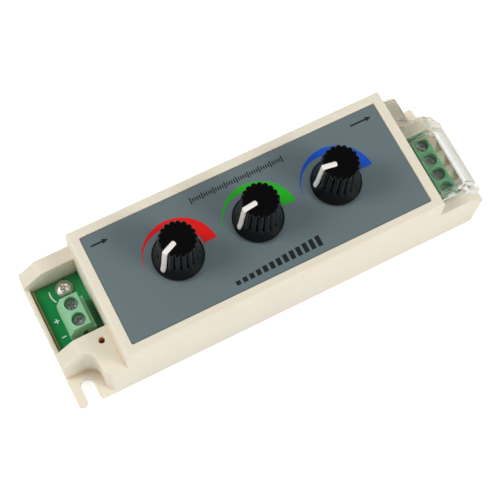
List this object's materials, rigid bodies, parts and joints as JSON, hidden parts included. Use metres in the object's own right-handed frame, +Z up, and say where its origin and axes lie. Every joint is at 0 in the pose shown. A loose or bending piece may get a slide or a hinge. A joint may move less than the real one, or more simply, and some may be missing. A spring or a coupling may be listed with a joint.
{
  "type": "led strip controller",
  "caption": "Ivory box-shaped LED strip dimmer: black pointer knobs on a slate label, a screw-terminal bay at each end, one under a clear cover, and slotted fastening ears.",
  "frame": {"origin": "centre of the base, on the surface the controller stands on", "axes": "+X along the housing from the input bay to the output bay, +Y to the side away from the viewer, +Z up through the knobs"},
  "size_m": [0.132, 0.04, 0.0444],
  "materials": {
    "ivory_plastic": "moulded ABS, fine satin",
    "label": "printed film label, satin",
    "knob_plastic": "black ABS, satin",
    "pointer_plastic": "white ABS",
    "nickel": "nickel plated",
    "tinplate": "tin plated",
    "wafer": "phenolic paper",
    "board": "solder mask, gloss",
    "brass": "plated brass",
    "black_plastic": "moulded epoxy",
    "terminal_pale": "moulded nylon",
    "terminal_green": "moulded nylon",
    "capacitor_sleeve": "shrink sleeve",
    "clear_plastic": "clear polycarbonate, polished"
  },
  "bodies": {
    "case": {"housing": "ivory_plastic", "base_plate": "ivory_plastic", "base_screws": "nickel", "label_plate": "label", "bushing_red": "nickel", "bushing_green": "nickel", "bushing_blue": "nickel", "can_red": "tinplate", "can_green": "tinplate", "can_blue": "tinplate", "wafer_red": "wafer", "wafer_green": "wafer", "wafer_blue": "wafer", "pot_pins": "nickel", "pot_nuts": "nickel", "pot_washers": "nickel", "control_board": "board", "header_body": "black_plastic", "header_pins": "brass", "main_board": "board", "board_screws": "nickel", "board_washers": "nickel", "input_terminal": "terminal_pale", "output_terminal": "terminal_green", "input_contacts": "brass", "output_contacts": "brass", "capacitor": "capacitor_sleeve", "mosfets": "black_plastic", "regulator": "black_plastic", "pwm_chip": "black_plastic", "chip_parts": "black_plastic"},
    "red_knob": {"knob_red": "knob_plastic", "pointer_red": "pointer_plastic", "shaft_red": "nickel", "rotor_red": "wafer"},
    "green_knob": {"knob_green": "knob_plastic", "pointer_green": "pointer_plastic", "shaft_green": "nickel", "rotor_green": "wafer"},
    "blue_knob": {"knob_blue": "knob_plastic", "pointer_blue": "pointer_plastic", "shaft_blue": "nickel", "rotor_blue": "wafer"},
    "in_screw_1": {"in_screw_1": "nickel"},
    "in_cage_1": {"in_cage_1": "brass"},
    "in_screw_2": {"in_screw_2": "nickel"},
    "in_cage_2": {"in_cage_2": "brass"},
    "out_screw_1": {"out_screw_1": "nickel"},
    "out_cage_1": {"out_cage_1": "brass"},
    "out_screw_2": {"out_screw_2": "nickel"},
    "out_cage_2": {"out_cage_2": "brass"},
    "out_screw_3": {"out_screw_3": "nickel"},
    "out_cage_3": {"out_cage_3": "brass"},
    "out_screw_4": {"out_screw_4": "nickel"},
    "out_cage_4": {"out_cage_4": "brass"},
    "cover": {"clear_cover": "clear_plastic"}
  },
  "joints": [
    {"name": "red_knob_turn", "type": "hinge", "parent": "case", "child": "red_knob", "pos_m": [-0.0246, 0, 0.03], "axis": [0, 0, 1], "range_deg": [-263.3, 36.7]},
    {"name": "green_knob_turn", "type": "hinge", "parent": "case", "child": "green_knob", "pos_m": [0.0002, 0, 0.03], "axis": [0, 0, 1], "range_deg": [-246, 54]},
    {"name": "blue_knob_turn", "type": "hinge", "parent": "case", "child": "blue_knob", "pos_m": [0.025, 0, 0.03], "axis": [0, 0, 1], "range_deg": [-230.5, 69.5]},
    {"name": "in_screw_1_turn", "type": "hinge", "parent": "case", "child": "in_screw_1", "pos_m": [-0.05605, 0.0041, 0.018], "axis": [0, 0, 1], "range_deg": [-1081, 0]},
    {"name": "in_cage_1_rise", "type": "slide", "parent": "case", "child": "in_cage_1", "axis": [0, 0, 1], "range_m": [0, 0.00135]},
    {"name": "in_screw_2_turn", "type": "hinge", "parent": "case", "child": "in_screw_2", "pos_m": [-0.05605, -0.0009, 0.018], "axis": [0, 0, 1], "range_deg": [-1081, 0]},
    {"name": "in_cage_2_rise", "type": "slide", "parent": "case", "child": "in_cage_2", "axis": [0, 0, 1], "range_m": [0, 0.00135]},
    {"name": "out_screw_1_turn", "type": "hinge", "parent": "case", "child": "out_screw_1", "pos_m": [0.0564, 0.0022, 0.018], "axis": [0, 0, 1], "range_deg": [-1081, 0]},
    {"name": "out_cage_1_rise", "type": "slide", "parent": "case", "child": "out_cage_1", "axis": [0, 0, 1], "range_m": [0, 0.00135]},
    {"name": "out_screw_2_turn", "type": "hinge", "parent": "case", "child": "out_screw_2", "pos_m": [0.0564, -0.0028, 0.018], "axis": [0, 0, 1], "range_deg": [-1081, 0]},
    {"name": "out_cage_2_rise", "type": "slide", "parent": "case", "child": "out_cage_2", "axis": [0, 0, 1], "range_m": [0, 0.00135]},
    {"name": "out_screw_3_turn", "type": "hinge", "parent": "case", "child": "out_screw_3", "pos_m": [0.0564, -0.0078, 0.018], "axis": [0, 0, 1], "range_deg": [-1081, 0]},
    {"name": "out_cage_3_rise", "type": "slide", "parent": "case", "child": "out_cage_3", "axis": [0, 0, 1], "range_m": [0, 0.00135]},
    {"name": "out_screw_4_turn", "type": "hinge", "parent": "case", "child": "out_screw_4", "pos_m": [0.0564, -0.0128, 0.018], "axis": [0, 0, 1], "range_deg": [-1081, 0]},
    {"name": "out_cage_4_rise", "type": "slide", "parent": "case", "child": "out_cage_4", "axis": [0, 0, 1], "range_m": [0, 0.00135]},
    {"name": "cover_lift", "type": "slide", "parent": "case", "child": "cover", "axis": [0, 0, 1], "range_m": [0, 0.02]}
  ],
  "couplings": [
    {"joint": "in_screw_1_turn", "follows": "in_cage_1_rise", "rad_per_m": -13963},
    {"joint": "in_screw_2_turn", "follows": "in_cage_2_rise", "rad_per_m": -13963},
    {"joint": "out_screw_1_turn", "follows": "out_cage_1_rise", "rad_per_m": -13963},
    {"joint": "out_screw_2_turn", "follows": "out_cage_2_rise", "rad_per_m": -13963},
    {"joint": "out_screw_3_turn", "follows": "out_cage_3_rise", "rad_per_m": -13963},
    {"joint": "out_screw_4_turn", "follows": "out_cage_4_rise", "rad_per_m": -13963}
  ]
}
